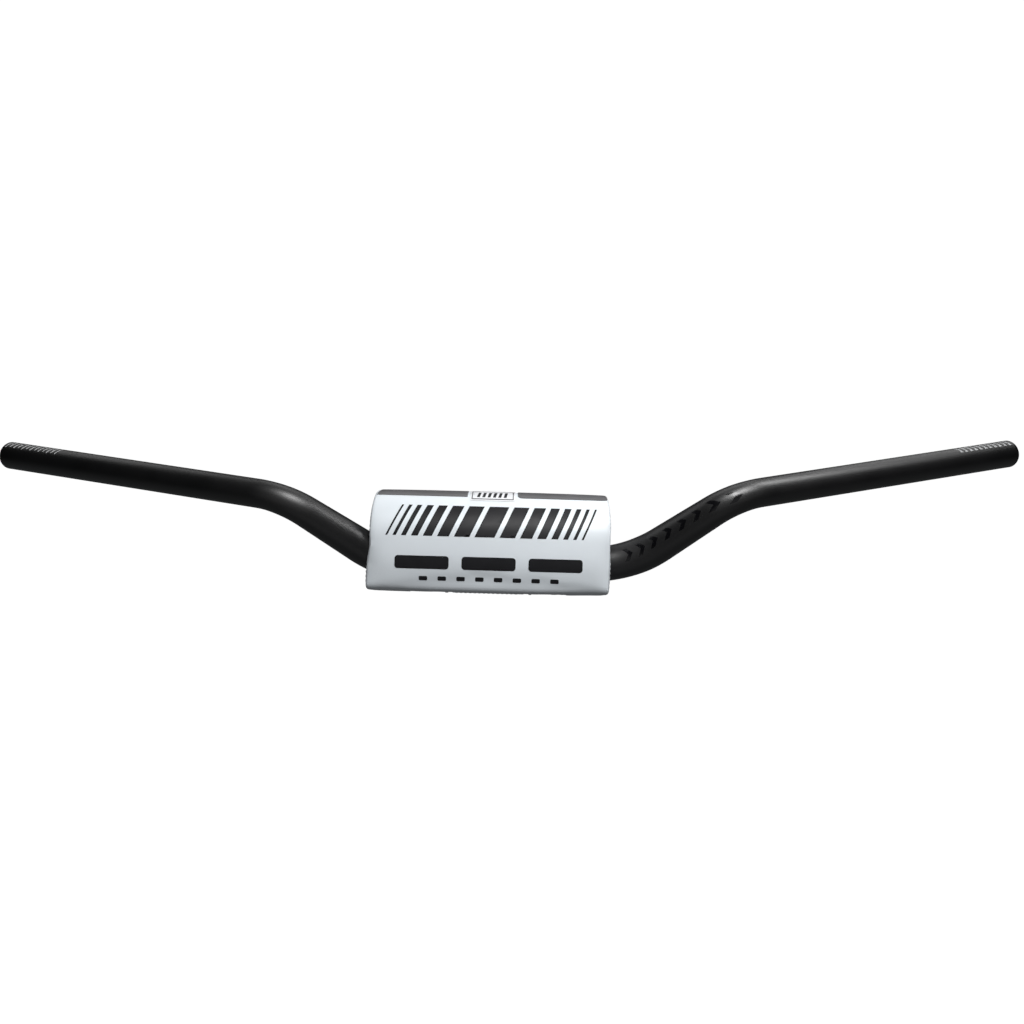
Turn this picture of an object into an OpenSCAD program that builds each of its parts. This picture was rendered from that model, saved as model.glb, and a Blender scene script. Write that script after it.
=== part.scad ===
// Motocross handlebar: a tapered, braceless aluminium bar with a foam bar pad at its centre.
// Millimetres. X runs across the bar, +Y points back to the rider and +Z points up.
// The origin is the centre of the clamp zone, on the bar's axis.

/* [Bar sizes] */
// Diameter of the straight centre that the clamps hold
clamp_diameter = 28.6; // [25.4:0.1:31.8]
// Diameter of the ends that the grips slide onto
grip_diameter = 22.2; // [20:0.1:25.4]
// Diameter carried round the second bend
bend_diameter = 23.4; // [22.2:0.1:26]
// Wall thickness of the tube, the same all along
wall_thickness = 4; // [2.5:0.1:5]
// Chamfer on the outer edge of each tube end
end_chamfer = 0.8; // [0.2:0.1:1.5]

/* [Bar bends] */
// Length of the straight centre section
clamp_zone_length = 132; // [110:1:150]
// Centre-line radius of the first bend, where the bar starts to rise
rise_bend_radius = 74; // [60:1:100]
// Angle of the first bend
rise_bend_angle = 46; // [30:0.5:60]
// Straight length between the two bends
leg_length = 51; // [35:1:80]
// Centre-line radius of the second bend, where the bar levels out
sweep_bend_radius = 45; // [35:1:80]
// Angle of the second bend
sweep_bend_angle = 51; // [30:0.5:60]
// How far the second bend is turned back towards the rider
sweep_bend_turn = 20; // [0:0.5:40]
// Length over which the tube shrinks to the grip diameter after the second bend
fade_length = 16; // [8:1:40]
// Straight length at full grip diameter
grip_length = 214; // [180:1:240]
// How far the rising legs lean forward
bar_lean = 20; // [0:1:35]

/* [Pad] */
// Length of the pad along the bar
pad_length = 190; // [150:1:220]
// Distance of the pad's centre from the bar's centre
pad_offset = -16.5; // [-16.5:0.5:16.5]
// How far the pad can slide towards the other side
pad_travel = 32; // [0:1:33]
// How far the pad leans back
pad_lean = 23.5; // [0:0.5:35]
// How far the pad sits out of line with the bar
pad_askew = 1.7; // [0:0.1:2]
// Distance of the pad's front face from the bar's axis
pad_front = 29; // [28:0.5:34]
// Distance of the pad's back face from the bar's axis
pad_back = 33; // [30:0.5:40]
// Height of the pad's top above the bar's axis
pad_top = 58.5; // [50:0.5:70]
// Depth of the pad's underside below the bar's axis
pad_bottom = 21.5; // [21:0.5:28]
// Radius of the long curve from the front face to the top
front_top_radius = 38; // [20:1:40]
// Radius of the curve from the top to the back face
back_top_radius = 21; // [10:1:30]
// Radius of the lower front and back edges
lower_radius = 7; // [4:0.5:12]
// Thickness of the vinyl cover
cover_thickness = 1.4; // [0.8:0.1:2]
// Radial room between the bar and the straight part of the channel in the foam
channel_room = 0.9; // [0.7:0.1:1.5]
// Width of the slot that the bar is pushed in through
mouth_width = 26; // [20:1:28]

/* [Closure] */
// Length of the closing flap along the bar
flap_length = 56; // [30:1:62]
// Thickness of the flap
flap_thickness = 1.2; // [0.8:0.1:2]
// Thickness of each half of the hook and loop fastener
tape_thickness = 0.8; // [0.5:0.1:1]
// Width of the hook and loop tapes
tape_width = 10; // [6:0.5:10]
// Width of each recess that lets a bar clamp into the pad
clamp_recess_width = 28; // [24:1:30]
// Radius of the clamp recesses round the bar's axis
clamp_recess_radius = 21; // [20:0.5:23]

/* [Top film] */
// Thickness of the films pressed on the top of the cover
film_thickness = 0.5; // [0.3:0.1:1]
// Length of each dark band
band_length = 74; // [60:1:76]
// Length of the badge between the bands
badge_length = 34; // [20:1:36]
// Gap between the badge and each band
band_gap = 2; // [1:0.5:2]
// Angle up the front curve where the bands start
band_start = 62; // [50:1:75]
// Angle up the front curve where the badge starts
badge_start = 54; // [45:1:75]

/* [Hidden] */
$fa = 4;
$fs = 0.6;
clamp_radius = clamp_diameter / 2;
grip_radius = grip_diameter / 2;
bend_radius = bend_diameter / 2;
clamp_half = clamp_zone_length / 2;
pad_half = pad_length / 2;
// each bend is a hair thicker than the straights, which run a little way into it
joint_step = 0.06;
joint_overlap = 0.6;
// the passage is a little wider than the bar everywhere, by slightly different amounts
bent_room = 0.8;
leg_room = 0.74;
wedge_room = 0.6;
wedge_reach = 50;
wedge_height = 22;
// bodies that move against each other stay this far apart
running_gap = 0.3;
// the closing flap turns about a line a quarter of this gap behind its own edge
seam_gap = 1.6;
seam_width = 7.4;
// room round the closed flap in its notch: at each end, at the front and back, and above its underside
notch_end_room = 4;
notch_edge_room = 0.5;
notch_sink = 0.2;
notch_length = flap_length + 2 * notch_end_room;
notch_front = 24;
notch_back = 31;
notch_depth = 2 * tape_thickness + running_gap + flap_thickness + notch_sink;
notch_top = notch_depth - pad_bottom;
flap_front = notch_front - notch_edge_room;
seam_back = notch_back - notch_edge_room;
flap_back = seam_back - seam_width - seam_gap;
// the hook tape stops this far short of each end of the flap
hook_inset = 2;
// foam left between the notch and each clamp recess
recess_wall = 2;
recess_centre = notch_length / 2 + recess_wall + clamp_recess_width / 2;
arc_step = 6;
// cutting shapes run past what they cut
cut_reach = 120;
cut_depth = 2 * pad_bottom;
cut_over = 1;
// the films clear the cover's corners by this much
film_lift = 0.02;

// ---------- bar ----------

// a bend that starts along +X and curves up towards +Z
module bend(centre_line_radius, angle, tube_radius) {
    translate([0, 0, centre_line_radius])
        rotate([90, 0, 0])
            rotate([0, 0, -90])
                rotate_extrude(angle = angle)
                    translate([centre_line_radius, 0])
                        circle(r = tube_radius);
}

// moves to the end of a bend, facing along the tube
module after_bend(centre_line_radius, angle) {
    rise = centre_line_radius * (1 - cos(angle));
    translate([centre_line_radius * sin(angle), 0, rise])
        rotate([0, -angle, 0])
            children();
}

// a straight piece of tube along +X
module run(length, start_radius, end_radius) {
    rotate([0, 90, 0])
        cylinder(h = length, r1 = start_radius, r2 = end_radius);
}

// everything beyond the clamp zone on the right, shrunk all round by inset
module bar_side(inset) {
    rotate([bar_lean, 0, 0])
        translate([clamp_half, 0, 0]) {
            bend(rise_bend_radius, rise_bend_angle, clamp_radius + joint_step - inset);
            after_bend(rise_bend_radius, rise_bend_angle) {
                translate([-joint_overlap, 0, 0])
                    run(leg_length + 2 * joint_overlap, clamp_radius - inset, bend_radius - inset);
                translate([leg_length, 0, 0])
                    rotate([sweep_bend_turn - 180, 0, 0]) {
                        bend(sweep_bend_radius, sweep_bend_angle, bend_radius + joint_step - inset);
                        after_bend(sweep_bend_radius, sweep_bend_angle)
                            bar_end(inset);
                    }
            }
        }
}

// the straight end that carries the grip, turned from one profile
module bar_end(inset) {
    reach = fade_length + grip_length;
    thin = grip_radius - inset;
    // the bore runs on past the end, and the outside is chamfered
    tip = inset > 0 ? [[thin, reach + cut_over], [0, reach + cut_over]]
                    : [[thin, reach - end_chamfer], [thin - end_chamfer, reach], [0, reach]];
    rotate([0, 90, 0])
        rotate_extrude()
            polygon(concat(
                [[0, -joint_overlap], [bend_radius - inset, -joint_overlap], [thin, fade_length]],
                tip
            ));
}

// the straight centre, drawn a little into both bends
module bar_centre(inset) {
    rotate([0, 90, 0])
        cylinder(h = clamp_zone_length + 2 * joint_overlap, r = clamp_radius - inset, center = true);
}

module bar_shape(inset) {
    bar_centre(inset);
    bar_side(inset);
    mirror([1, 0, 0])
        bar_side(inset);
}

module bar_tube() {
    color([0.05, 0.05, 0.055])
        difference() {
            union()
                bar_shape(0);
            bar_shape(wall_thickness);
        }
}

// ---------- pad ----------

// puts a pad piece, drawn about the bar's axis, where the pad sits on the bar
module on_bar() {
    rotate([-pad_lean, 0, 0])
        translate([pad_offset, 0, 0])
            rotate([0, pad_askew, 0])
                children();
}

// points along an arc, as [depth, height] pairs
function arc_points(centre, radius, from, to) = [
    for (a = [from:arc_step:to]) centre + radius * [cos(a), sin(a)]
];

// the pad's section seen from its left end, inset all round
function section_points(inset) = concat(
    arc_points([lower_radius - pad_front, lower_radius - pad_bottom], lower_radius - inset, 180, 270),
    arc_points([pad_back - lower_radius, lower_radius - pad_bottom], lower_radius - inset, 270, 360),
    arc_points([pad_back - back_top_radius, pad_top - back_top_radius], back_top_radius - inset, 0, 90),
    arc_points([front_top_radius - pad_front, pad_top - front_top_radius], front_top_radius - inset, 90, 180)
);

// a straight bar with the pad's section, centred on the pad
module section_bar(inset, length) {
    rotate([90, 0, 90])
        linear_extrude(height = length, center = true)
            polygon(section_points(inset));
}

// one end of the path that the bent bar sweeps through the sliding pad
module bent_passage() {
    rotate([bar_lean, 0, 0]) {
        translate([clamp_half, 0, 0]) {
            bend(rise_bend_radius, rise_bend_angle, clamp_radius + bent_room);
            after_bend(rise_bend_radius, rise_bend_angle)
                translate([-joint_overlap, 0, 0])
                    run(leg_length, clamp_radius + leg_room, clamp_radius + leg_room);
        }
        rotate([90, 0, 0])
            linear_extrude(height = clamp_diameter + 2 * wedge_room, center = true)
                difference() {
                    translate([clamp_half, 0])
                        square([wedge_reach, wedge_height]);
                    translate([clamp_half, rise_bend_radius])
                        circle(r = rise_bend_radius);
                }
    }
}

// all the room that the bar needs over the pad's whole travel
module bar_passage() {
    rotate([0, 90, 0])
        cylinder(h = 2 * cut_reach, r = clamp_radius + channel_room, center = true);
    mirror([1, 0, 0])
        bent_passage();
    translate([-pad_travel, 0, 0])
        bent_passage();
}

// the slot under the bar, along the whole pad
module mouth() {
    translate([-cut_reach, -mouth_width / 2, -cut_depth])
        cube([2 * cut_reach, mouth_width, cut_depth]);
}

// room for the two bar clamps, which reach up round the bar from below
module clamp_recesses() {
    for (side = [-1, 1])
        translate([side * recess_centre - clamp_recess_width / 2, 0, 0]) {
            rotate([0, 90, 0])
                cylinder(h = clamp_recess_width, r = clamp_recess_radius);
            translate([0, -clamp_recess_radius, -cut_depth])
                cube([clamp_recess_width, 2 * clamp_recess_radius, cut_depth]);
        }
}

// the shallow notch that the closing flap lies in
module flap_notch() {
    translate([-notch_length / 2, -notch_front, -cut_depth])
        cube([notch_length, notch_front + notch_back, cut_depth + notch_top]);
}

module pad_foam() {
    color([0.09, 0.09, 0.09])
        difference() {
            on_bar()
                difference() {
                    section_bar(cover_thickness, pad_length - 2 * cover_thickness);
                    mouth();
                    clamp_recesses();
                    flap_notch();
                }
            bar_passage();
        }
}

module cover_wrap() {
    color([0.93, 0.94, 0.95])
        on_bar()
            difference() {
                section_bar(0, pad_length);
                section_bar(cover_thickness, pad_length + 2 * cut_over);
                mouth();
                clamp_recesses();
                flap_notch();
            }
}

// an end panel, on the right for side = 1 and on the left for side = -1
module cover_end(side) {
    color([0.93, 0.94, 0.95])
        difference() {
            on_bar()
                difference() {
                    translate([side * (pad_half - cover_thickness / 2), 0, 0])
                        section_bar(cover_thickness, cover_thickness);
                    mouth();
                }
            bar_passage();
        }
}

module cover_end_left() {
    cover_end(-1);
}

module cover_end_right() {
    cover_end(1);
}

// ---------- films on the top ----------

// a thin film that follows the front curve up to the top
module film(from_x, length, from_angle) {
    on_bar()
        translate([from_x, front_top_radius - pad_front, pad_top - front_top_radius])
            rotate([90, 0, 90])
                rotate([0, 0, 90])
                    rotate_extrude(angle = 90 - from_angle)
                        translate([front_top_radius + film_lift, 0])
                            square([film_thickness, length]);
}

module band_left() {
    color([0.3, 0.3, 0.31])
        film(-badge_length / 2 - band_gap - band_length, band_length, band_start);
}

module band_right() {
    color([0.3, 0.3, 0.31])
        film(badge_length / 2 + band_gap, band_length, band_start);
}

module badge_patch() {
    color([0.9, 0.91, 0.92])
        film(-badge_length / 2, badge_length, badge_start);
}

// ---------- closure ----------

// a flat strip between two depths, hanging from a height
module strip(from_y, to_y, top, thickness, length) {
    on_bar()
        translate([-length / 2, from_y, top - thickness])
            cube([length, to_y - from_y, thickness]);
}

module loop_tape() {
    color([0.15, 0.15, 0.16])
        strip(-flap_front, tape_width - flap_front, notch_top, tape_thickness, flap_length);
}

module flap_seam() {
    color([0.93, 0.94, 0.95])
        strip(flap_back + seam_gap, seam_back, notch_top, notch_depth - notch_sink, flap_length);
}

module closure_flap() {
    flap_top = notch_top - 2 * tape_thickness - running_gap;
    color([0.93, 0.94, 0.95])
        strip(-flap_front, flap_back, flap_top, flap_thickness, flap_length);
}

module hook_tape() {
    tape_top = notch_top - tape_thickness - running_gap;
    color([0.12, 0.12, 0.13])
        strip(-flap_front, tape_width - flap_front, tape_top, tape_thickness, flap_length - 2 * hook_inset);
}

bar_tube();
pad_foam();
cover_wrap();
cover_end_left();
cover_end_right();
band_left();
band_right();
badge_patch();
loop_tape();
flap_seam();
closure_flap();
hook_tape();
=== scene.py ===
import math

import bmesh
import bpy
import numpy as np
from mathutils import Matrix, Vector
from mathutils.bvhtree import BVHTree


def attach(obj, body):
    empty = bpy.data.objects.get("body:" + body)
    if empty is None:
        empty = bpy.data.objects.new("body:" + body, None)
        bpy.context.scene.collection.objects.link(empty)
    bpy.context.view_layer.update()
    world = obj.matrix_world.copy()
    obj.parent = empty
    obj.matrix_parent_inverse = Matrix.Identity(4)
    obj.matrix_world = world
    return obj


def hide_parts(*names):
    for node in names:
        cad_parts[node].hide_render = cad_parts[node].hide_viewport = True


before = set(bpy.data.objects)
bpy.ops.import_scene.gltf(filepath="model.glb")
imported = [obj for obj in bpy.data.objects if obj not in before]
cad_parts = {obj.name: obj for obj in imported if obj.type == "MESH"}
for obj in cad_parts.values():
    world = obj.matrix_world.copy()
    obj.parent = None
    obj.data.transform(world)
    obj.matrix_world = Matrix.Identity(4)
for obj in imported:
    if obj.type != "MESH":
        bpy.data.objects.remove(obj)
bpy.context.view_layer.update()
MM = 0.001  # metres in a millimetre

# ---------------------------------------------------------------- bar line
# The sizes are those of part.scad, in mm. The half line runs straight, bends up, and bends back to the grip.
CLAMP_HALF, RISE_R, RISE_A = 66.0, 74.0, math.radians(46)
LEG, SWEEP_R, SWEEP_A = 51.0, 45.0, math.radians(51)
TURN, LEAN = math.radians(20), math.radians(20)
GRIP_RUN = 230.0
R_CLAMP, R_GRIP, WALL = 14.3, 11.1, 4.0
TAPER = (110.0, 208.0)  # arc lengths where the tube starts and ends thinning
PAD_X, PAD_LEAN, PAD_ASKEW = -16.5, math.radians(23.5), math.radians(1.7)
TRAVEL = 32.0  # of the pad_slide joint


def rx(a):
    return np.array([[1, 0, 0], [0, math.cos(a), -math.sin(a)], [0, math.sin(a), math.cos(a)]])


def ry(a):
    return np.array([[math.cos(a), 0, math.sin(a)], [0, 1, 0], [-math.sin(a), 0, math.cos(a)]])


def half_line(step=3.0):
    """Points, tangents and arc lengths of the right half's centre line."""
    pts, tans, arcs = [np.zeros(3)], [np.array([1.0, 0, 0])], [0.0]
    o, m, s = np.zeros(3), np.eye(3), 0.0

    def run(length):
        nonlocal o, s
        n = max(1, int(round(length / step)))
        for k in range(1, n + 1):
            pts.append(o + m @ np.array([length * k / n, 0, 0]))
            tans.append(m @ np.array([1.0, 0, 0]))
            arcs.append(s + length * k / n)
        o = o + m @ np.array([length, 0, 0])
        s += length

    def bend(radius, angle):
        nonlocal o, m, s
        n = max(6, int(round(radius * angle / step)))
        for k in range(1, n + 1):
            a = angle * k / n
            pts.append(o + m @ np.array([radius * math.sin(a), 0, radius * (1 - math.cos(a))]))
            tans.append(m @ np.array([math.cos(a), 0, math.sin(a)]))
            arcs.append(s + radius * a)
        o = o + m @ np.array([radius * math.sin(angle), 0, radius * (1 - math.cos(angle))])
        m = m @ ry(-angle)
        s += radius * angle

    run(CLAMP_HALF)
    bend(RISE_R, RISE_A)
    run(LEG)
    m = m @ rx(TURN - math.pi)
    bend(SWEEP_R, SWEEP_A)
    run(GRIP_RUN)
    lean = rx(LEAN)
    return np.array(pts) @ lean.T, np.array(tans) @ lean.T, np.array(arcs)


LINE_POINTS, LINE_TANGENTS, LINE_ARCS = half_line()
S_END = float(LINE_ARCS[-1])


def radius_at(s):
    t = np.clip((np.abs(s) - TAPER[0]) / (TAPER[1] - TAPER[0]), 0, 1)
    return R_CLAMP + (R_GRIP - R_CLAMP) * t


def line_at(s):
    """Centre point, tangent (towards +X), up and front directions at signed arc length s."""
    s = float(s)
    a = abs(s)
    p = np.array([np.interp(a, LINE_ARCS, LINE_POINTS[:, k]) for k in range(3)])
    t = np.array([np.interp(a, LINE_ARCS, LINE_TANGENTS[:, k]) for k in range(3)])
    if s < 0:
        p = p * [-1, 1, 1]
        t = t * [1, -1, -1]
    t = t / np.linalg.norm(t)
    up = np.array([0, 0, 1.0]) - t[2] * t
    up /= np.linalg.norm(up)
    front = np.cross(t, up)
    return p, t, up, front


def tube_point(s, angle, lift):
    """A point on the tube in metres: angle 0 is on top, 90 degrees is at the front."""
    p, _, up, front = line_at(s)
    r = radius_at(s) + lift
    return (p + r * (math.cos(angle) * up + math.sin(angle) * front)) * MM


# ---------------------------------------------------------------- helpers
def new_mesh(name, verts, faces, smooth=True, mats=()):
    me = bpy.data.meshes.new(name)
    me.from_pydata([tuple(map(float, v)) for v in verts], [], [tuple(f) for f in faces])
    me.validate()
    me.update()
    ob = bpy.data.objects.new(name, me)
    bpy.context.scene.collection.objects.link(ob)
    if smooth:
        me.polygons.foreach_set("use_smooth", [True] * len(me.polygons))
    for m in mats:
        me.materials.append(m)
    return ob


def face_outwards(ob):
    bm = bmesh.new()
    bm.from_mesh(ob.data)
    bmesh.ops.recalc_face_normals(bm, faces=bm.faces)
    bm.to_mesh(ob.data)
    bm.free()
    return ob


def apply_modifiers(ob):
    dg = bpy.context.evaluated_depsgraph_get()
    dg.update()
    me = bpy.data.meshes.new_from_object(ob.evaluated_get(dg), depsgraph=dg)
    ob.modifiers.clear()
    old = ob.data
    ob.data = me
    bpy.data.meshes.remove(old)
    return ob


def cut(ob, cutters):
    for c in cutters:
        mod = ob.modifiers.new("cut", "BOOLEAN")
        mod.operation = "DIFFERENCE"
        mod.solver = "EXACT"
        mod.object = c
        apply_modifiers(ob)
    return ob


def sharpen(ob, degrees=32):
    me = ob.data
    me.polygons.foreach_set("use_smooth", [True] * len(me.polygons))
    me.set_sharp_from_angle(angle=math.radians(degrees))


def pad_point(p):
    """Pad-frame millimetres to row-frame metres."""
    q = rx(-PAD_LEAN) @ (ry(PAD_ASKEW) @ np.asarray(p, float) + np.array([PAD_X, 0, 0]))
    return q * MM


def pad_vector(v):
    return rx(-PAD_LEAN) @ (ry(PAD_ASKEW) @ np.asarray(v, float))


def pad_rows(a):
    """Rows of pad-frame millimetres to row-frame metres."""
    a = np.asarray(a, float).reshape(-1, 3)
    return ((a @ ry(PAD_ASKEW).T + np.array([PAD_X, 0, 0])) @ rx(-PAD_LEAN).T) * MM


def gridded(outline, step_u, step_v):
    """A flat outline as a bmesh, cut into a grid so that it can follow a curved surface."""
    bm = bmesh.new()
    bm.faces.new([bm.verts.new((u, v, 0)) for u, v in outline])
    for axis, step in enumerate((step_u, step_v)):
        values = [p[axis] for p in outline]
        unit = (1, 0, 0) if axis == 0 else (0, 1, 0)
        for at in np.arange(min(values) + step, max(values), step):
            bmesh.ops.bisect_plane(bm, geom=bm.verts[:] + bm.edges[:] + bm.faces[:],
                                   plane_co=tuple(at * c for c in unit), plane_no=unit)
    bm.verts.index_update()
    return bm


# ---------------------------------------------------------------- materials
def material(name):
    m = bpy.data.materials.new(name)
    m.use_nodes = True
    nt = m.node_tree
    nt.nodes.clear()
    out = nt.nodes.new("ShaderNodeOutputMaterial")
    bsdf = nt.nodes.new("ShaderNodeBsdfPrincipled")
    nt.links.new(bsdf.outputs[0], out.inputs[0])
    return m, nt, bsdf


def coords(nt, scale=(1, 1, 1)):
    tc = nt.nodes.new("ShaderNodeTexCoord")
    mp = nt.nodes.new("ShaderNodeMapping")
    mp.inputs["Scale"].default_value = scale
    nt.links.new(tc.outputs["Object"], mp.inputs["Vector"])
    return mp.outputs["Vector"]


def noise(nt, vec, scale, detail=3.0, rough=0.55):
    n = nt.nodes.new("ShaderNodeTexNoise")
    n.inputs["Scale"].default_value = scale
    n.inputs["Detail"].default_value = detail
    n.inputs["Roughness"].default_value = rough
    nt.links.new(vec, n.inputs["Vector"])
    return n.outputs["Fac"]


def cells_of(nt, vec, scale):
    n = nt.nodes.new("ShaderNodeTexVoronoi")
    n.inputs["Scale"].default_value = scale
    nt.links.new(vec, n.inputs["Vector"])
    return n.outputs["Distance"]


def ramp(nt, fac, stops):
    r = nt.nodes.new("ShaderNodeValToRGB")
    while len(r.color_ramp.elements) > 1:
        r.color_ramp.elements.remove(r.color_ramp.elements[-1])
    for i, (pos, col) in enumerate(stops):
        e = r.color_ramp.elements[0] if i == 0 else r.color_ramp.elements.new(pos)
        e.position = pos
        e.color = (*col, 1)
    nt.links.new(fac, r.inputs["Fac"])
    return r.outputs["Color"]


def remap(nt, fac, lo, hi, a=0.0, b=1.0):
    """Maps a..b to lo..hi."""
    n = nt.nodes.new("ShaderNodeMapRange")
    n.inputs["From Min"].default_value = a
    n.inputs["From Max"].default_value = b
    n.inputs["To Min"].default_value = lo
    n.inputs["To Max"].default_value = hi
    nt.links.new(fac, n.inputs["Value"])
    return n.outputs["Result"]


def bump(nt, bsdf, height, distance, strength=1.0, below=None):
    b = nt.nodes.new("ShaderNodeBump")
    b.inputs["Strength"].default_value = strength
    b.inputs["Distance"].default_value = distance
    nt.links.new(height, b.inputs["Height"])
    if below is not None:
        nt.links.new(below, b.inputs["Normal"])
    nt.links.new(b.outputs["Normal"], bsdf.inputs["Normal"])
    return b.outputs["Normal"]


def anodised():
    m, nt, b = material("satin_black_anodised")
    v = coords(nt)
    broad = noise(nt, v, 14, 4, 0.6)
    fine = noise(nt, v, 900, 2, 0.5)
    nt.links.new(ramp(nt, broad, [(0.3, (0.0034, 0.0034, 0.0038)), (0.7, (0.0056, 0.0056, 0.0061))]),
                 b.inputs["Base Color"])
    nt.links.new(remap(nt, broad, 0.37, 0.46, 0.3, 0.7), b.inputs["Roughness"])
    b.inputs["IOR"].default_value = 1.68
    first = bump(nt, b, fine, 0.00004, 0.5)
    bump(nt, b, noise(nt, v, 2600, 2, 0.6), 0.00002, 0.5, first)
    return m


def vinyl():
    m, nt, b = material("white_vinyl")
    tint = (0.745, 0.795, 0.835)
    v = coords(nt)
    broad = noise(nt, v, 22, 3, 0.55)
    dark = tuple(c * 0.965 for c in tint)
    nt.links.new(ramp(nt, broad, [(0.35, dark), (0.65, tint)]), b.inputs["Base Color"])
    nt.links.new(remap(nt, noise(nt, v, 60, 3), 0.30, 0.44, 0.3, 0.7), b.inputs["Roughness"])
    b.inputs["IOR"].default_value = 1.5
    first = bump(nt, b, noise(nt, v, 35, 2, 0.5), 0.0006, 0.25)
    second = bump(nt, b, cells_of(nt, v, 1500), 0.00006, 0.35, first)
    bump(nt, b, noise(nt, v, 3000, 2, 0.5), 0.00002, 0.4, second)
    return m


def film(name, base, rough):
    m, nt, b = material(name)
    v = coords(nt)
    n = noise(nt, v, 45, 4, 0.6)
    nt.links.new(ramp(nt, n, [(0.3, tuple(c * 0.86 for c in base)), (0.7, base)]), b.inputs["Base Color"])
    nt.links.new(remap(nt, n, rough - 0.06, rough + 0.06, 0.3, 0.7), b.inputs["Roughness"])
    bump(nt, b, noise(nt, v, 1600, 2, 0.5), 0.00003, 0.4)
    return m


def foam_black():
    m, nt, b = material("black_foam")
    v = coords(nt)
    cells = cells_of(nt, v, 900)
    # painted shade: the colour darkens towards the cell centres, where the same cells sink the bump into pores,
    # so the pores carry painted shade
    nt.links.new(ramp(nt, cells, [(0.0, (0.006, 0.006, 0.006)), (0.55, (0.035, 0.035, 0.036))]),
                 b.inputs["Base Color"])
    b.inputs["Roughness"].default_value = 0.92
    first = bump(nt, b, cells, 0.0004, 0.8)
    bump(nt, b, noise(nt, v, 2200, 3, 0.7), 0.00015, 0.6, first)
    return m


def tape(name, base, scale):
    m, nt, b = material(name)
    v = coords(nt)
    loops = cells_of(nt, v, scale)
    # painted shade: the colour drops to a third at the cell centres, where the same cells sink the bump, so the
    # hollows between the loops carry painted shade
    nt.links.new(ramp(nt, loops, [(0.0, tuple(c * 0.35 for c in base)), (0.6, base)]), b.inputs["Base Color"])
    b.inputs["Roughness"].default_value = 0.85
    b.inputs["Sheen Weight"].default_value = 0.4
    first = bump(nt, b, loops, 0.0005, 0.9)
    bump(nt, b, noise(nt, v, 3500, 2, 0.6), 0.0002, 0.7, first)
    return m


def paint(name, base, rough, specular=0.5):
    m, nt, b = material(name)
    v = coords(nt)
    n = noise(nt, v, 120, 4, 0.6)
    nt.links.new(ramp(nt, n, [(0.3, tuple(c * 0.8 for c in base)), (0.7, base)]), b.inputs["Base Color"])
    nt.links.new(remap(nt, n, rough - 0.04, rough + 0.05, 0.3, 0.7), b.inputs["Roughness"])
    b.inputs["Specular IOR Level"].default_value = specular
    bump(nt, b, noise(nt, v, 1400, 2, 0.5), 0.00002, 0.3)
    return m


def thread_white():
    m, nt, b = material("white_thread")
    v = coords(nt)
    n = noise(nt, v, 3000, 2, 0.6)
    # painted shade: the same noise that sinks the bump darkens the colour, so the thread's hollows carry
    # painted shade
    nt.links.new(ramp(nt, n, [(0.3, (0.55, 0.56, 0.58)), (0.7, (0.80, 0.81, 0.83))]), b.inputs["Base Color"])
    b.inputs["Roughness"].default_value = 0.7
    b.inputs["Sheen Weight"].default_value = 0.3
    bump(nt, b, n, 0.0001, 0.6)
    return m


M_BAR = anodised()
M_VINYL = vinyl()
M_FOAM = foam_black()
M_BAND = film("dark_grey_film", (0.115, 0.115, 0.12), 0.38)
M_BADGE = film("white_film", (0.80, 0.81, 0.83), 0.32)
M_PRINT = paint("black_print", (0.012, 0.012, 0.014), 0.46, 0.22)
M_GLOSS = paint("gloss_black_print", (0.004, 0.004, 0.005), 0.22)
M_TICKS = paint("grey_marks", (0.46, 0.47, 0.48), 0.45, 0.3)
M_TICKS_PALE = paint("pale_marks", (0.80, 0.81, 0.82), 0.45, 0.4)
M_HOOK = tape("hook_tape_black", (0.035, 0.035, 0.037), 1400)
M_LOOP = tape("loop_tape_black", (0.05, 0.05, 0.053), 800)
M_THREAD = thread_white()

# ---------------------------------------------------------------- bar
SEG = 88  # faces round the tube


def ring(s, radius):
    p, _, up, front = line_at(s)
    return [(p + radius * (math.cos(a) * up + math.sin(a) * front)) * MM
            for a in np.linspace(0, 2 * math.pi, SEG, endpoint=False)]


def bar_mesh():
    """The outside from end to end, then the bore back, closed into one loop of rings."""
    arcs = np.unique(np.round(np.concatenate([-LINE_ARCS[::-1], LINE_ARCS]), 6))
    # the rolled edge of an end: distance from the tip, and radius
    edge = [(0.0, R_GRIP - WALL + 0.35), (0.0, R_GRIP - 0.95), (0.12, R_GRIP - 0.62), (0.42, R_GRIP - 0.28),
            (0.95, R_GRIP)]
    rings = [ring(d - S_END, r) for d, r in edge]
    rings += [ring(s, float(radius_at(s))) for s in arcs if abs(s) < S_END - 1.5]
    rings += [ring(S_END - d, r) for d, r in reversed(edge)]
    rings += [ring(s, float(radius_at(s)) - WALL) for s in np.linspace(S_END - 0.4, 0.4 - S_END, 120)]
    verts = [v for r in rings for v in r]
    faces = []
    n = len(rings)
    for i in range(n):
        j = (i + 1) % n
        for k in range(SEG):
            k2 = (k + 1) % SEG
            faces.append((i * SEG + k, i * SEG + k2, j * SEG + k2, j * SEG + k))
    ob = new_mesh("bar", verts, faces, mats=[M_BAR])
    face_outwards(ob)
    sharpen(ob, 40)
    return ob


bar = bar_mesh()
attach(bar, "bar")
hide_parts("bar_tube")


PATCH_LIFT = 0.03


def tube_patch(name, shapes, mat):
    """Flat shapes given as (arc length, degrees round the tube) outlines, laid on the tube."""
    verts, faces = [], []
    for outline in shapes:
        bm = gridded(outline, 0.8, 4.0)
        base = len(verts)
        verts += [tube_point(v.co.x, math.radians(v.co.y), PATCH_LIFT) for v in bm.verts]
        faces += [tuple(base + v.index for v in f.verts) for f in bm.faces]
        bm.free()
    ob = new_mesh(name, verts, faces, mats=[mat])
    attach(ob, "bar")


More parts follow.
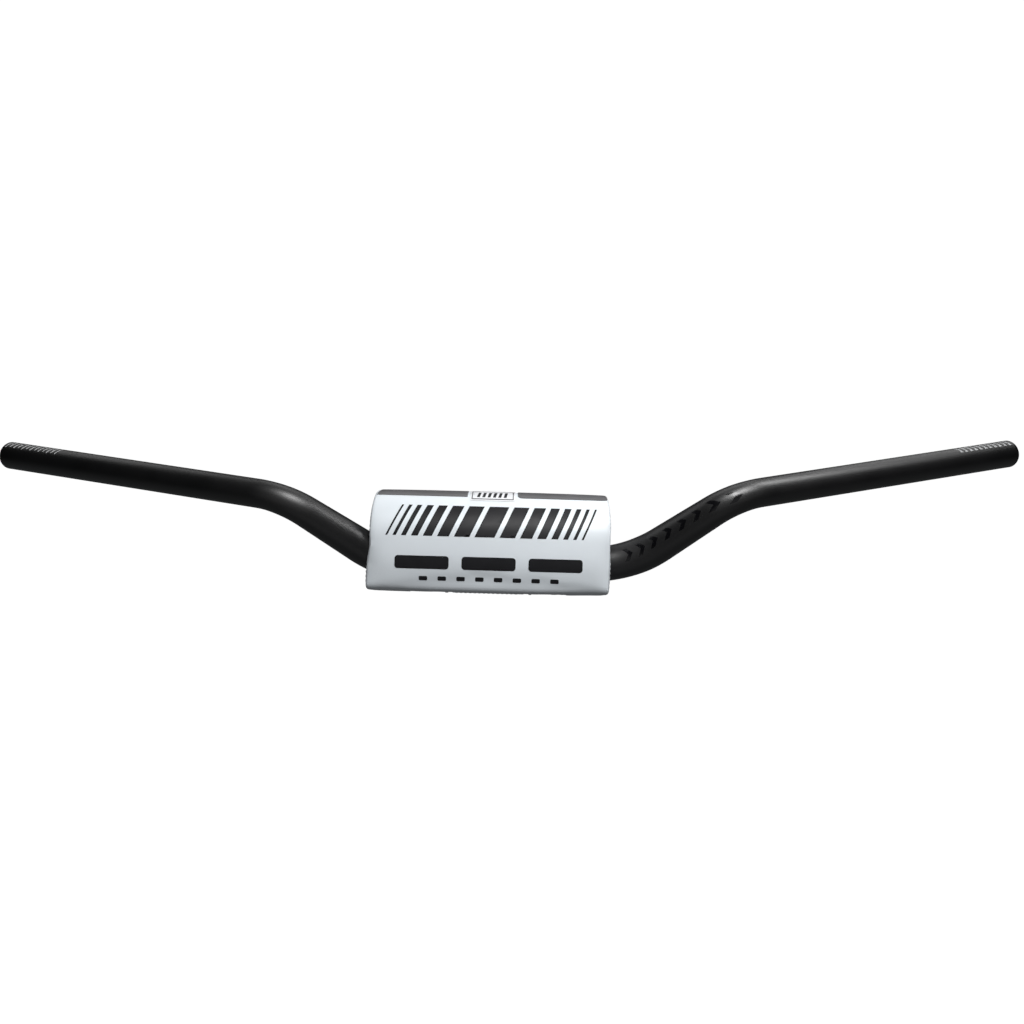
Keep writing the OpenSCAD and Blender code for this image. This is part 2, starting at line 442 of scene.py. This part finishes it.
# trimming marks near both ends, plain strokes without numbers
left_marks = []
for k in range(13):
    s = -(S_END - 2.5 - 4.0 * k)
    low = 26 if k % 2 else 30
    left_marks.append([(s + 1.9, -12), (s + 2.8, -12), (s + 1.1, low), (s + 0.2, low)])
right_marks = []
for k in range(11):
    s = S_END - 4.4 - 4.75 * k
    right_marks.append([(s - 3.0, -10), (s - 1.8, -10), (s + 0.5, 26), (s - 0.7, 26)])
    right_marks.append([(s - 2.2, 19), (s - 0.9, 19), (s - 0.7, 26), (s - 2.0, 26)])
tube_patch("marks_left", left_marks, M_TICKS_PALE)
tube_patch("marks_right", right_marks, M_TICKS)

# tone-on-tone chevrons on the right bend
chevrons = []
STROKE, POINT = 4.6, 5.0  # how wide a chevron is, and how far its point stands forward
for k in range(8):
    s = 96.0 + 13.5 * k
    tip = [(s + STROKE + POINT, 51), (s + POINT, 51)]
    chevrons.append([(s, 30), (s + STROKE, 30)] + tip)
    chevrons.append(tip[::-1] + [(s + STROKE, 72), (s, 72)])
tube_patch("bend_print", chevrons, M_GLOSS)

# ---------------------------------------------------------------- pad block
# half length, then the distances of the four sides from the bar's axis, in mm
HALF, FRONT, BACK, TOP, BOTTOM = 95.0, 29.0, 33.0, 58.5, 21.5
# radii of the front-top, back-top and lower edges, and the cover's thickness
FT_R, BT_R, LOW_R, SKIN = 38.0, 21.0, 5.0, 1.4
NOTCH_TOP = 3.3 - BOTTOM


def section(count):
    """Pad section as evenly spaced (y, z) points with outward normals."""
    arcs = [((LOW_R - FRONT, LOW_R - BOTTOM), LOW_R, 180, 270),
            ((BACK - LOW_R, LOW_R - BOTTOM), LOW_R, 270, 360),
            ((BACK - BT_R, TOP - BT_R), BT_R, 0, 90),
            ((FT_R - FRONT, TOP - FT_R), FT_R, 90, 180)]
    dense = []
    for (cy, cz), r, a0, a1 in arcs:
        for a in np.linspace(a0, a1, 60):
            c, s = math.cos(math.radians(a)), math.sin(math.radians(a))
            dense.append((cy + r * c, cz + r * s, c, s))
    dense = np.array(dense + [dense[0]])
    seg = np.linalg.norm(np.diff(dense[:, :2], axis=0), axis=1)
    run = np.concatenate([[0], np.cumsum(seg)])
    at = np.linspace(0, run[-1], count, endpoint=False)
    out = np.stack([np.interp(at, run, dense[:, k]) for k in range(4)], 1)
    out[:, 2:] /= np.linalg.norm(out[:, 2:], axis=1)[:, None]
    return out


def block_mesh(name):
    """The pad's outer form: rings of the section, rounded over into two end faces."""
    n, spacing, fillet = 112, 3.6, 2.4
    sec = section(n)
    stations = [(-HALF + fillet * (1 - math.sin(t)), fillet * (1 - math.cos(t)))
                for t in np.linspace(0, math.pi / 2, 4)][::-1]
    body = np.linspace(-HALF + fillet, HALF - fillet, int(round((2 * HALF - 2 * fillet) / spacing)) + 1)
    caps = [0.1, 0.28, 0.46, 0.62, 0.76, 0.88]  # the end faces' rings, as shares of the section's size
    centre = np.array([2.0, 18.0])

    def loop(x, shrink, scale=1.0):
        yz = sec[:, :2] - sec[:, 2:] * shrink
        yz = centre + (yz - centre) * scale
        return [(x, y, z) for y, z in yz]

    rings = [loop(-HALF, fillet, c) for c in caps]
    rings += [loop(x, shrink) for x, shrink in stations]
    rings += [loop(x, 0.0) for x in body[1:-1]]
    rings += [loop(-x, shrink) for x, shrink in reversed(stations)]
    rings += [loop(HALF, fillet, c) for c in reversed(caps)]
    verts = [v for r in rings for v in r]
    faces = []
    for i in range(len(rings) - 1):
        for k in range(n):
            k2 = (k + 1) % n
            faces.append((i * n + k, (i + 1) * n + k, (i + 1) * n + k2, i * n + k2))
    a, b = len(verts), len(verts) + 1
    verts += [(-HALF, *centre), (HALF, *centre)]
    last = (len(rings) - 1) * n
    for k in range(n):
        k2 = (k + 1) % n
        faces.append((a, k, k2))
        faces.append((b, last + k2, last + k))
    return face_outwards(new_mesh(name, pad_rows([settle(v) for v in verts]), faces))


def smooth_step(x, a, b):
    t = min(1.0, max(0.0, (x - a) / (b - a)))
    return t * t * (3 - 2 * t)


def settle(p):
    """The pad's unevenness: the left end flares at the bottom, the lower corners lift, the front swells."""
    x, y, z = p
    left = smooth_step(-x, 50, 95)
    dx = left * (1.0 - 2.2 * smooth_step(-z, -30, 20))
    lift = 0.7 * smooth_step(-x, 35, 95) + 1.4 * smooth_step(x, 35, 95)
    dz = lift * smooth_step(-z, -5, 20)
    swell = 1.7 * max(0.0, math.cos(math.pi / 2 * max(-1.0, min(1.0, (z - 4) / 26)))) ** 2
    dy = -swell * smooth_step(-y, 10, 27) * smooth_step(HALF - abs(x), 0, 14)
    return x + dx, y + dy, z + dz


def get_co(ob):
    a = np.empty(len(ob.data.vertices) * 3)
    ob.data.vertices.foreach_get("co", a)
    return a.reshape(-1, 3)


def set_co(ob, a):
    ob.data.vertices.foreach_set("co", np.asarray(a, float).ravel())
    ob.data.update()


def puff(ob, cap_mm):
    """Cloth under pressure, with each point's movement capped."""
    rest = get_co(ob)
    mod = ob.modifiers.new("cloth", "CLOTH")
    st = mod.settings
    st.quality = 6
    st.mass = 0.25
    st.tension_stiffness = 18
    st.compression_stiffness = 18
    st.shear_stiffness = 8
    st.bending_stiffness = 2.0
    st.use_pressure = True
    st.uniform_pressure_force = 4.0
    st.effector_weights.gravity = 0
    mod.collision_settings.use_collision = False
    sc = bpy.context.scene
    mod.point_cache.frame_start, mod.point_cache.frame_end = 1, 20
    for f in range(1, 21):
        sc.frame_set(f)
    apply_modifiers(ob)
    sc.frame_set(1)
    moved = get_co(ob) - rest
    size = np.linalg.norm(moved, axis=1)
    limit = cap_mm * MM
    # a soft cap keeps the swell's shape instead of shearing its top off
    scale = np.where(size > 1e-9, limit * np.tanh(size / limit) / np.maximum(size, 1e-9), 0)
    set_co(ob, rest + moved * scale[:, None])


outer = block_mesh("pad_outer")
puff(outer, 0.8)


def inward(ob, name, depth_mm):
    """A copy of a closed mesh, moved in along its normals."""
    me = ob.data.copy()
    me.update()
    co = get_co(ob)
    normals = np.array([v.normal for v in me.vertices], float)
    copy = bpy.data.objects.new(name, me)
    bpy.context.scene.collection.objects.link(copy)
    set_co(copy, co - normals * depth_mm * MM)
    return copy


def pad_box(name, lo, hi):
    """A box between two corners in the pad frame."""
    corners = [(x, y, z) for x in (lo[0], hi[0]) for y in (lo[1], hi[1]) for z in (lo[2], hi[2])]
    faces = [(0, 1, 3, 2), (4, 6, 7, 5), (0, 4, 5, 1), (2, 3, 7, 6), (0, 2, 6, 4), (1, 5, 7, 3)]
    return new_mesh(name, pad_rows(corners), faces, smooth=False)


def closed_tube(name, rings):
    """A closed form through rings of equal count, given in metres."""
    n = len(rings[0])
    verts = [v for r in rings for v in r]
    faces = []
    for i in range(len(rings) - 1):
        for k in range(n):
            k2 = (k + 1) % n
            faces.append((i * n + k, i * n + k2, (i + 1) * n + k2, (i + 1) * n + k))
    faces.append(tuple(reversed(range(n))))
    faces.append(tuple((len(rings) - 1) * n + k for k in range(n)))
    ob = new_mesh(name, verts, faces)
    return face_outwards(ob)


def circle_ring(centre, up, front, radius, n=72, phase=0.02):
    """A ring in metres. The phase keeps its points off the planes of the other cutters."""
    return [(centre + radius * (math.cos(a) * up + math.sin(a) * front)) * MM
            for a in np.linspace(0, 2 * math.pi, n, endpoint=False) + phase]


def bend_cutter(name, sign, shift):
    """The bent tube that the pad clears, at one end of its travel."""
    rings = []
    for s in np.linspace(CLAMP_HALF - 2, CLAMP_HALF + 82, 34):
        p, _, up, front = line_at(s * sign)
        rings.append(circle_ring(p + np.array([shift, 0, 0]), up, front, R_CLAMP + 0.8))
    return closed_tube(name, rings)


def wedge_cutter(name, sign, shift):
    """What the bent bar sweeps through between the two ends of the pad's travel."""
    lean = rx(LEAN)
    outline = [(CLAMP_HALF, 0.0), (CLAMP_HALF + 50, 0.0)]
    for x in np.linspace(50, 1, 22):
        outline.append((CLAMP_HALF + x, RISE_R - math.sqrt(RISE_R ** 2 - x ** 2)))
    half = R_CLAMP + 0.6
    verts = []
    for y in (-half, half):
        for x, w in outline:
            q = lean @ np.array([x, y, w])
            verts.append(np.array([sign * q[0] + shift, q[1], q[2]]) * MM)
    n = len(outline)
    faces = [tuple(range(n)), tuple(reversed(range(n, 2 * n)))]
    for k in range(n):
        k2 = (k + 1) % n
        faces.append((k, k + n, k2 + n, k2))
    ob = new_mesh(name, verts, faces, smooth=False)
    return face_outwards(ob)


def ray_tree(ob):
    return BVHTree.FromPolygons([tuple(v.co) for v in ob.data.vertices],
                                [tuple(p.vertices) for p in ob.data.polygons])


UP, FORWARD = np.array([0, 0, 1.0]), np.array([0, -1.0, 0])
straight = closed_tube("cut_straight", [circle_ring(np.array([x, 0, 0.0]), UP, FORWARD, R_CLAMP + 0.9, 84, 0.01)
                                        for x in (-125.0, 95.0)])
cutters = [straight,
           bend_cutter("cut_bend_l", -1, 0.0), bend_cutter("cut_bend_r", 1, -TRAVEL),
           wedge_cutter("cut_wedge_l", -1, 0.0), wedge_cutter("cut_wedge_r", 1, -TRAVEL),
           pad_box("cut_mouth", (-120, -13, -45), (120, 13, 0)),
           pad_box("cut_notch", (-32, -24, -45), (32, 31, NOTCH_TOP))]
# one closed arch per recess, since a box and a cylinder that touch make the boolean fail
RECESS_X, RECESS_HALF, RECESS_R = 48, 14, 21
arch = [(-RECESS_R * math.cos(a), RECESS_R * math.sin(a)) for a in np.linspace(0, math.pi, 41)]
arch = [(-RECESS_R, -45)] + arch + [(RECESS_R, -45)]
for side in (-1, 1):
    cutters.append(closed_tube("cut_recess", [[pad_point((side * RECESS_X + x, y, z)) for y, z in arch]
                                              for x in (-RECESS_HALF, RECESS_HALF)]))

skin_inner = inward(outer, "pad_inner", SKIN)
foam = inward(outer, "foam", SKIN + 0.05)

cover = bpy.data.objects.new("pad_cover", outer.data.copy())
bpy.context.scene.collection.objects.link(cover)
probe = ray_tree(outer)  # without the openings, for the films
cut(cover, cutters + [skin_inner])
cut(foam, cutters)
for o in cutters + [outer, skin_inner]:
    bpy.data.objects.remove(o)
for o, mat in ((cover, M_VINYL), (foam, M_FOAM)):
    o.data.materials.clear()
    o.data.materials.append(mat)
sharpen(cover)
sharpen(foam)
open_probe = ray_tree(cover)  # with the openings, for the stitches

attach(cover, "pad")
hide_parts("cover_wrap", "cover_end_left", "cover_end_right")
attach(foam, "pad")
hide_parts("pad_foam")


# ---------------------------------------------------------------- prints and films on the cover
def front_map(u, v):
    """Start and direction of the ray that lays a point on the front; v is the height."""
    return (u, -60, v), (0, 1, 0)


def top_map(u, v):
    """The same for the top; v is the angle round the front curve's centre: 90 is straight up, 180 the front."""
    c, s = math.cos(math.radians(v)), math.sin(math.radians(v))
    return (u, FT_R - FRONT + 70 * c, TOP - FT_R + 70 * s), (0, -c, -s)


def decal(name, shapes, mat, mapping, lift, thickness=0.0):
    """Flat shapes given as (u, v) outlines, laid on the cover by rays, all facing outwards."""
    verts, faces = [], []
    for outline in shapes:
        bm = gridded(outline, 3.0, 1.5)
        base = len(verts)
        for v in bm.verts:
            start, d = mapping(v.co.x, v.co.y)
            d = Vector(pad_vector(d))
            hit = probe.ray_cast(Vector(pad_point(start)), d)[0]
            out = -d
            verts.append(np.array(hit + out * lift * MM))
        for f in bm.faces:
            ids = [base + v.index for v in f.verts]
            a, b, c = (Vector(verts[i]) for i in ids[:3])
            faces.append(tuple(ids if (b - a).cross(c - a).dot(out) > 0 else reversed(ids)))
        bm.free()
    ob = new_mesh(name, verts, faces, mats=[mat])
    if thickness:
        mod = ob.modifiers.new("solid", "SOLIDIFY")
        mod.thickness = thickness * MM
        mod.offset = -1
        apply_modifiers(ob)
        sharpen(ob, 50)
    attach(ob, "pad")
    return ob


def rounded(u0, u1, v0, v1, r, n=5, ru=1.0):
    """A rounded rectangle with n points to a corner; ru stretches its corners along u."""
    pts = []
    for cu, cv, a0 in ((u1 - r * ru, v1 - r, 0), (u0 + r * ru, v1 - r, 90), (u0 + r * ru, v0 + r, 180),
                       (u1 - r * ru, v0 + r, 270)):
        for a in np.linspace(a0, a0 + 90, n):
            pts.append((cu + r * ru * math.cos(math.radians(a)), cv + r * math.sin(math.radians(a))))
    return pts


FILM_LIFT, FILM_THICK = 0.5, 0.45
band_l = decal("band_left_film", [[(-89.4, 90), (-91.8, 118), (-19, 118), (-19, 90)]], M_BAND, top_map,
               FILM_LIFT, FILM_THICK)
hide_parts("band_left")
band_r = decal("band_right_film", [rounded(21.5, 94.2, 90, 118, 6, 6, 0.5)], M_BAND, top_map,
               FILM_LIFT, FILM_THICK)
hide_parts("band_right")
badge = decal("badge_film", [rounded(-17, 19.5, 90, 126, 3, 5, 0.5)], M_BADGE, top_map,
              FILM_LIFT, FILM_THICK)
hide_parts("badge_patch")


def frame_shapes(u0, u1, v0, v1, wu, wv):
    """The four strips of a rectangular line, wu wide at its ends and wv along it."""
    return [[(u0, v0), (u1, v0), (u1, v0 + wv), (u0, v0 + wv)],
            [(u0, v1 - wv), (u1, v1 - wv), (u1, v1), (u0, v1)],
            [(u0, v0 + wv), (u0 + wu, v0 + wv), (u0 + wu, v1 - wv), (u0, v1 - wv)],
            [(u1 - wu, v0 + wv), (u1, v0 + wv), (u1, v1 - wv), (u1 - wu, v1 - wv)]]


badge_shapes = frame_shapes(-15.6, 18.1, 98, 123.6, 0.7, 1.7)
for k in range(6):
    u = -11.5 + 4.3 * k
    badge_shapes.append([(u, 119), (u + 2.3, 119), (u + 3.5, 105), (u + 1.2, 105)])
decal("badge_marks", badge_shapes, M_PRINT, top_map, FILM_LIFT + 0.03)

# a plain pattern: slanted blocks over three bars over a row of dashes
blocks = []
v_hi, v_lo, slant, gap, u = 47.0, 23.0, 11.0, 4.0, -81.0
for width in (1.6, 2.6, 3.8, 5.2, 7.0, 9.2, 12.0, 15.5, 12.0, 9.2, 7.0, 5.2, 3.8, 2.6, 1.6):
    blocks.append([(u, v_lo), (u + width, v_lo), (u + width + slant, v_hi), (u + slant, v_hi)])
    u += width + gap
bars = [rounded(u0, u0 + 42, -2.6, 7.6, 2.4) for u0 in (-73, -21, 31)]
dashes = [rounded(-54 + 14.6 * k, -47.4 + 14.6 * k, -11.6, -8.2, 0.9) for k in range(8)]
decal("front_print", blocks + bars + dashes, M_PRINT, front_map, 0.12)


# ---------------------------------------------------------------- closure under the bar
def slab(name, lo, hi, bevel, mat, body):
    """A flat strip between two corners in the pad frame, with rounded edges."""
    ob = pad_box(name, lo, hi)
    bm = bmesh.new()
    bm.from_mesh(ob.data)
    bmesh.ops.recalc_face_normals(bm, faces=bm.faces)
    bmesh.ops.subdivide_edges(bm, edges=[e for e in bm.edges if e.calc_length() > 0.02], cuts=14,
                              use_grid_fill=True)
    bm.to_mesh(ob.data)
    bm.free()
    mod = ob.modifiers.new("bevel", "BEVEL")
    mod.width = bevel * MM
    mod.segments = 3
    mod.limit_method = "ANGLE"
    apply_modifiers(ob)
    ob.data.materials.clear()
    ob.data.materials.append(mat)
    sharpen(ob, 40)
    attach(ob, body)
    return ob


SHEET, TAPE_THICK = 1.2, 0.8
FLAP_TOP = NOTCH_TOP - 1.9
loop_v = slab("loop_strip", (-28, -23.5, NOTCH_TOP - TAPE_THICK), (28, -13.5, NOTCH_TOP), 0.25,
              M_LOOP, "pad")
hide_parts("loop_tape")
seam_v = slab("flap_edge", (-28, 23.1, FLAP_TOP - SHEET), (28, 30.5, NOTCH_TOP), 0.5,
              M_VINYL, "pad")
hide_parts("flap_seam")
flap_v = slab("flap", (-28, -23.5, FLAP_TOP - SHEET), (28, 21.5, FLAP_TOP), 0.5,
              M_VINYL, "flap")
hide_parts("closure_flap")
hook_v = slab("hook_strip", (-26, -23.4, FLAP_TOP), (26, -13.6, FLAP_TOP + TAPE_THICK), 0.25,
              M_HOOK, "flap")
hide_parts("hook_tape")


# ---------------------------------------------------------------- stitching
def threads(name, rows, radius, body):
    """Short threads, each between two points in metres."""
    verts, faces = [], []
    n = 7
    for a, b in rows:
        a, b = Vector(a), Vector(b)
        d = (b - a).normalized()
        side = d.cross(Vector((0.31, 0.17, 0.93))).normalized()
        other = d.cross(side)
        profile = [(0.0, 0.0), (0.12, 0.75), (0.3, 1.0), (0.7, 1.0), (0.88, 0.75), (1.0, 0.0)]
        base = len(verts)
        for t, r in profile:
            c = a.lerp(b, t)
            if r == 0:
                verts.append(tuple(c))
                continue
            for k in range(n):
                q = 2 * math.pi * k / n
                verts.append(tuple(c + (side * math.cos(q) + other * math.sin(q)) * radius * r))
        first, last = base, base + 1 + 4 * n
        for k in range(n):
            k2 = (k + 1) % n
            faces.append((first, base + 1 + k2, base + 1 + k))
            for j in range(3):
                p = base + 1 + j * n
                faces.append((p + k, p + k2, p + n + k2, p + n + k))
            faces.append((last, base + 1 + 3 * n + k, base + 1 + 3 * n + k2))
    ob = new_mesh(name, verts, faces, mats=[M_THREAD])
    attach(ob, body)


STITCH, STITCH_GAP = 2.3, 1.3
REACH = 12.0  # how far in front of its line a ray starts


def stitch_path(points, direction, lift=0.1):
    """Stitches along a polyline in the pad frame, laid on the cover by rays; a missing hit leaves a gap."""
    pts = [np.array(p, float) for p in points]
    run = np.concatenate([[0], np.cumsum([np.linalg.norm(b - a) for a, b in zip(pts, pts[1:])])])
    rows = []
    d = Vector(pad_vector(direction))
    at = 0.6
    while at + STITCH < run[-1]:
        ends = []
        for s in (at, at + STITCH):
            p = np.array([np.interp(s, run, [q[k] for q in pts]) for k in range(3)])
            start = Vector(pad_point(p - np.array(direction) * REACH))
            hit, _, _, dist = open_probe.ray_cast(start, d)
            if hit is None or abs(dist * 1000 - REACH) > 1.6:
                ends = None
                break
            ends.append(hit - d * lift * MM)
        if ends:
            rows.append(ends)
        at += STITCH + STITCH_GAP
    return rows


rows = []
sec = section(160)
for side in (-1, 1):
    inner_line = [(side * HALF, *(q[:2] - q[2:] * 4.2)) for q in sec]
    inner_line.append(inner_line[0])
    rows += stitch_path(inner_line, (-side, 0, 0))
for y in (-24.9, 27.0):
    rows += stitch_path([(-90, y, -BOTTOM), (90, y, -BOTTOM)], (0, 0, 1), lift=-0.05)
threads("cover_stitches", rows, 0.00024, "pad")

UNDER = FLAP_TOP - SHEET - 0.06  # just under the flap and its seam
for name, lines, body in (("flap_stitches", (-22.3, -14.7), "flap"), ("seam_stitches", (25.0, 28.6), "pad")):
    rows = [(pad_point((x, y, UNDER)), pad_point((x + STITCH, y, UNDER)))
            for x in np.arange(-26.0, 24.0, STITCH + STITCH_GAP) for y in lines]
    threads(name, rows, 0.00022, body)

# ---------------------------------------------------------------- floor, light, camera
m, nt, b = material("floor_pale")
v = coords(nt)
pale = ramp(nt, noise(nt, v, 3, 2), [(0.3, (0.96, 0.96, 0.96)), (0.7, (0.985, 0.985, 0.985))])
nt.links.new(pale, b.inputs["Base Color"])
nt.links.new(pale, b.inputs["Emission Color"])
b.inputs["Emission Strength"].default_value = 1.03
b.inputs["Roughness"].default_value = 0.9
bump(nt, b, noise(nt, v, 300, 2), 0.0002, 0.1)
# a wide bowl: flat floor, cove, wall and ceiling, as (radius, height) turned round Z
FLOOR_Z, FLOOR_R, COVE, TURNS = -1.7, 3.0, 1.4, 64
profile = [(FLOOR_R * k / 6, FLOOR_Z) for k in range(1, 7)]
for a in np.radians(np.linspace(8, 90, 12)):
    profile.append((FLOOR_R + COVE * math.sin(a), FLOOR_Z + COVE * (1 - math.cos(a))))
profile += [(FLOOR_R + COVE, 3.2), (FLOOR_R + COVE, 5.0), (FLOOR_R / 2, 5.6)]
fv, ff = [(0, 0, FLOOR_Z)], []
for r, z in profile:
    fv += [(r * math.cos(2 * math.pi * k / TURNS), r * math.sin(2 * math.pi * k / TURNS), z)
           for k in range(TURNS)]
for k in range(TURNS):
    k2 = (k + 1) % TURNS
    ff.append((0, 1 + k, 1 + k2))
    for j in range(len(profile) - 1):
        p = 1 + j * TURNS
        ff.append((p + k, p + TURNS + k, p + TURNS + k2, p + k2))
ff.append(tuple(1 + (len(profile) - 1) * TURNS + k for k in range(TURNS)))
floor = new_mesh("floor", fv, ff, mats=[m])
# the floor is only a backdrop; the lamps alone light the object
m.cycles.emission_sampling = "NONE"
floor.visible_glossy = False
floor.visible_diffuse = False

# a dim world that only glows from below, as a pale floor would
world = bpy.data.worlds.new("studio")
bpy.context.scene.world = world
world.use_nodes = True
wt = world.node_tree
sky = wt.nodes["Background"]
sky.inputs[0].default_value = (0.94, 0.97, 1.0, 1)
direction = wt.nodes.new("ShaderNodeTexCoord")
split = wt.nodes.new("ShaderNodeSeparateXYZ")
wt.links.new(direction.outputs["Generated"], split.inputs[0])
wt.links.new(remap(wt, split.outputs["Z"], 0.11, 0.0, -0.5, 0.0), sky.inputs[1])


def area(name, loc, size, size_y, power):
    """A soft lamp aimed at the middle of the bar."""
    light = bpy.data.lights.new(name, "AREA")
    light.shape = "RECTANGLE"
    light.size, light.size_y = size, size_y
    light.energy = power
    ob = bpy.data.objects.new(name, light)
    ob.location = loc
    ob.rotation_euler = (Vector((0, 0, 0.03)) - Vector(loc)).to_track_quat("-Z", "Y").to_euler()
    ob.visible_camera = False
    bpy.context.scene.collection.objects.link(ob)


area("near_top", (0.1, -0.2, 0.6), 0.3, 0.25, 4.0)
area("back", (0.0, 0.9, 0.9), 0.9, 0.6, 2.4)
area("back_left", (-1.0, 0.9, 0.8), 0.8, 0.6, 1.5)
area("back_right", (1.0, 0.9, 0.8), 0.8, 0.6, 2.4)
area("front", (0.0, -1.4, 0.5), 2.0, 1.0, 1.7)
area("front_low", (0.0, -1.0, -0.5), 0.9, 0.5, 0.2)
area("right_far", (0.6, 0.06, 0.5), 0.2, 0.2, 0.24)
area("right_mid", (0.36, 0.04, 0.38), 0.12, 0.12, 0.3)
area("right_near", (0.25, 0.03, 0.28), 0.1, 0.1, 0.12)

# the camera fitted to the photo: place, view direction, up direction and focal length in pixels
CAM_AT = (0.0012835, -0.5462042, 0.2847224)
CAM_FORWARD = Vector((0.00092171, 0.91673116, -0.39950361)).normalized()
CAM_UP = Vector((0.00153745, 0.39950201, 0.91673103))
FOCAL_PX, IMAGE_PX, SENSOR = 751.84, 1024, 36.0
cam_data = bpy.data.cameras.new("camera")
cam = bpy.data.objects.new("camera", cam_data)
bpy.context.scene.collection.objects.link(cam)
cam_data.sensor_width = SENSOR
cam_data.lens = FOCAL_PX / IMAGE_PX * SENSOR
cam_data.clip_start, cam_data.clip_end = 0.01, 50
right = CAM_FORWARD.cross(CAM_UP).normalized()
rot = Matrix((right, right.cross(CAM_FORWARD), -CAM_FORWARD)).transposed()
cam.matrix_world = Matrix.Translation(CAM_AT) @ rot.to_4x4()
bpy.context.scene.camera = cam
bpy.context.scene.view_settings.view_transform = "Standard"
